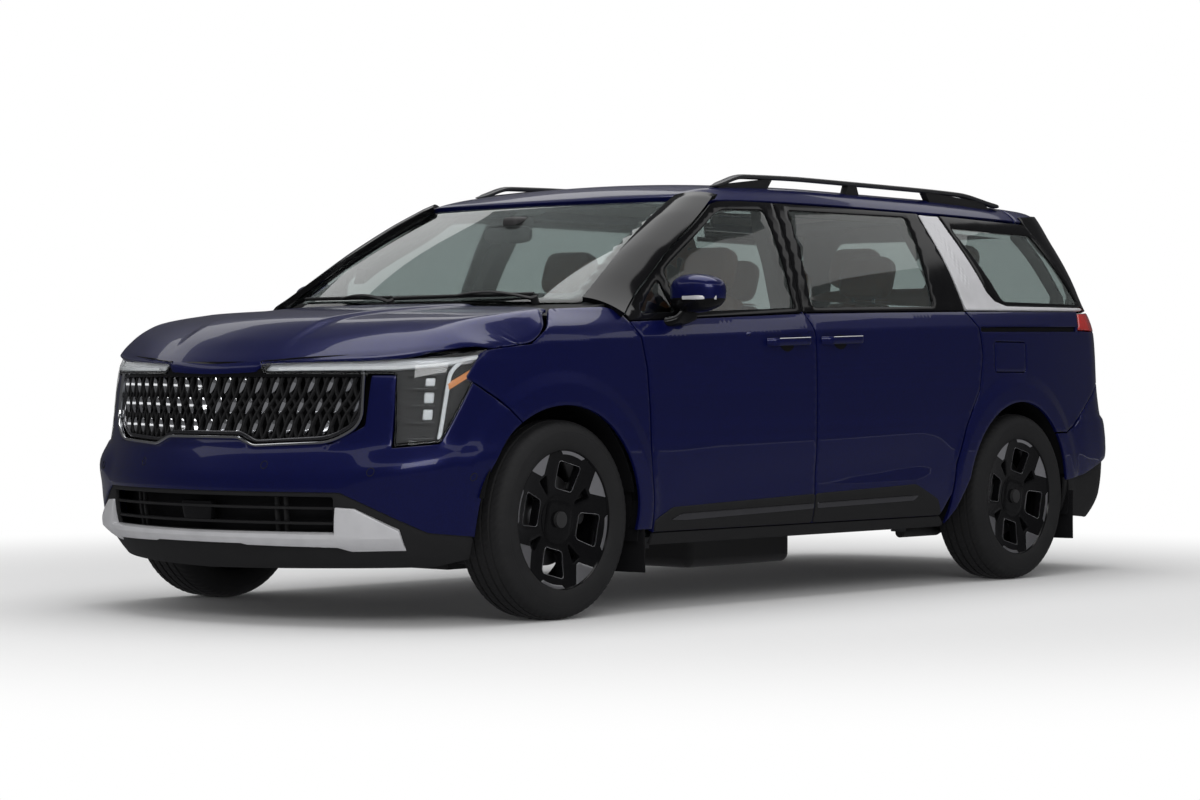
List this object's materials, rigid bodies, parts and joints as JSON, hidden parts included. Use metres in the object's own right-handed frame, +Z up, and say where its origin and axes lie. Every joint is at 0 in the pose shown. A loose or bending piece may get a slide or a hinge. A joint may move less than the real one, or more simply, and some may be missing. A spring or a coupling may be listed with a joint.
{
  "type": "minivan",
  "caption": "Minivan with hinged front doors, fixed sliding doors, hood, tailgate, coupled steering and turning wheels.",
  "frame": {"origin": "on the ground below the middle of the vehicle's length and width", "axes": "+Z up, the front faces -Y, +X is the vehicle's left side"},
  "size_m": [2.2678, 5.1578, 1.74],
  "materials": {
    "blue_paint": "gloss",
    "tinted_glass": "gloss",
    "tyre_rubber": "matte",
    "wheel_alloy": "gloss",
    "disc_iron": "satin",
    "brown_leather": "satin",
    "lamp_clear": "gloss",
    "lamp_red": "gloss",
    "black_plastic": "matte",
    "black_rubber": "matte",
    "silver_trim": "satin",
    "body_steel": "satin",
    "engine_alloy": "rough",
    "tank_plastic": "matte",
    "exhaust_steel": "satin",
    "chassis_iron": "matte"
  },
  "bodies": {
    "front_door_left_body": {"front_door_left": "blue_paint", "front_door_glass_left": "tinted_glass", "mirror_left": "blue_paint"},
    "front_door_right_body": {"front_door_right": "blue_paint", "front_door_glass_right": "tinted_glass", "mirror_right": "blue_paint"},
    "hood_body": {"hood": "blue_paint"},
    "tailgate_body": {"tailgate": "blue_paint", "tailgate_glass": "tinted_glass"},
    "fuel_flap_body": {"fuel_flap": "blue_paint"},
    "knuckle_left_body": {"knuckle_left": "chassis_iron"},
    "knuckle_right_body": {"knuckle_right": "chassis_iron"},
    "steering_wheel_body": {"steering_wheel": "black_plastic"},
    "wheel_front_left": {"tyre_front_left": "tyre_rubber", "rim_front_left": "wheel_alloy", "brake_disc_front_left": "disc_iron"},
    "wheel_front_right": {"tyre_front_right": "tyre_rubber", "rim_front_right": "wheel_alloy", "brake_disc_front_right": "disc_iron"},
    "wheel_rear_left": {"tyre_rear_left": "tyre_rubber", "rim_rear_left": "wheel_alloy", "brake_disc_rear_left": "disc_iron"},
    "wheel_rear_right": {"tyre_rear_right": "tyre_rubber", "rim_rear_right": "wheel_alloy", "brake_disc_rear_right": "disc_iron"},
    "body_shell": {"cowl": "black_plastic", "dashboard": "black_plastic", "engine_block": "engine_alloy", "exhaust": "exhaust_steel", "fender_left": "blue_paint", "fender_right": "blue_paint", "floor_pan": "body_steel", "front_bumper": "blue_paint", "front_seats": "brown_leather", "front_subframe": "chassis_iron", "fuel_tank": "tank_plastic", "grille": "black_plastic", "headlamps": "lamp_clear", "intake_grille": "black_plastic", "mud_flaps": "black_rubber", "pillar_garnishes": "silver_trim", "quarter_left": "blue_paint", "quarter_right": "blue_paint", "rear_axle": "chassis_iron", "rear_bumper": "blue_paint", "roof_panel": "blue_paint", "roof_rails": "black_plastic", "second_seats": "brown_leather", "side_frame_left": "body_steel", "side_frame_right": "body_steel", "side_glass_left": "tinted_glass", "side_glass_right": "tinted_glass", "sills": "black_plastic", "sliding_door_left": "blue_paint", "sliding_door_right": "blue_paint", "tail_lamps": "lamp_red", "third_seat": "brown_leather", "wheel_housings": "black_plastic", "windscreen": "tinted_glass", "windscreen_pillars": "black_plastic"}
  },
  "joints": [
    {"name": "front_door_left_hinge", "type": "hinge", "parent": "body_shell", "child": "front_door_left_body", "pos_m": [0.963, -1.08151, 0.3306], "axis": [0, 0.0457, -0.999], "range_deg": [0, 65]},
    {"name": "front_door_right_hinge", "type": "hinge", "parent": "body_shell", "child": "front_door_right_body", "pos_m": [-0.963, -1.08151, 0.3306], "axis": [0, -0.0457, 0.999], "range_deg": [0, 65]},
    {"name": "hood_hinge", "type": "hinge", "parent": "body_shell", "child": "hood_body", "pos_m": [0, -1.34468, 1.09968], "axis": [-1, 0, 0], "range_deg": [0, 48]},
    {"name": "tailgate_hinge", "type": "hinge", "parent": "body_shell", "child": "tailgate_body", "pos_m": [0, 1.80172, 1.68075], "axis": [1, 0, 0], "range_deg": [0, 85]},
    {"name": "fuel_flap_hinge", "type": "hinge", "parent": "body_shell", "child": "fuel_flap_body", "pos_m": [0.97494, 1.25779, 0.98136], "axis": [0, 0, -1], "range_deg": [0, 85]},
    {"name": "steer_left", "type": "hinge", "parent": "body_shell", "child": "knuckle_left_body", "pos_m": [0.79996, -1.643, 0.1996], "axis": [-0.239, 0, 0.971], "range_deg": [-33, 33]},
    {"name": "steer_right", "type": "hinge", "parent": "body_shell", "child": "knuckle_right_body", "pos_m": [-0.79996, -1.643, 0.1996], "axis": [0.239, 0, 0.971], "range_deg": [-33, 33]},
    {"name": "steering_wheel_turn", "type": "hinge", "parent": "body_shell", "child": "steering_wheel_body", "pos_m": [0.38, -0.73145, 1.0179], "axis": [0, 0.8829, 0.4695], "range_deg": [-495, 495]},
    {"name": "spin_front_left", "type": "hinge", "parent": "knuckle_left_body", "child": "wheel_front_left", "pos_m": [0.873, -1.643, 0.366], "axis": [1, 0, 0], "continuous": true},
    {"name": "spin_front_right", "type": "hinge", "parent": "knuckle_right_body", "child": "wheel_front_right", "pos_m": [-0.873, -1.643, 0.366], "axis": [1, 0, 0], "continuous": true},
    {"name": "spin_rear_left", "type": "hinge", "parent": "body_shell", "child": "wheel_rear_left", "pos_m": [0.873, 1.447, 0.366], "axis": [1, 0, 0], "continuous": true},
    {"name": "spin_rear_right", "type": "hinge", "parent": "body_shell", "child": "wheel_rear_right", "pos_m": [-0.873, 1.447, 0.366], "axis": [1, 0, 0], "continuous": true}
  ],
  "couplings": [
    {"joint": "steer_right", "follows": "steer_left", "ratio": 1},
    {"joint": "steering_wheel_turn", "follows": "steer_left", "ratio": 15}
  ]
}
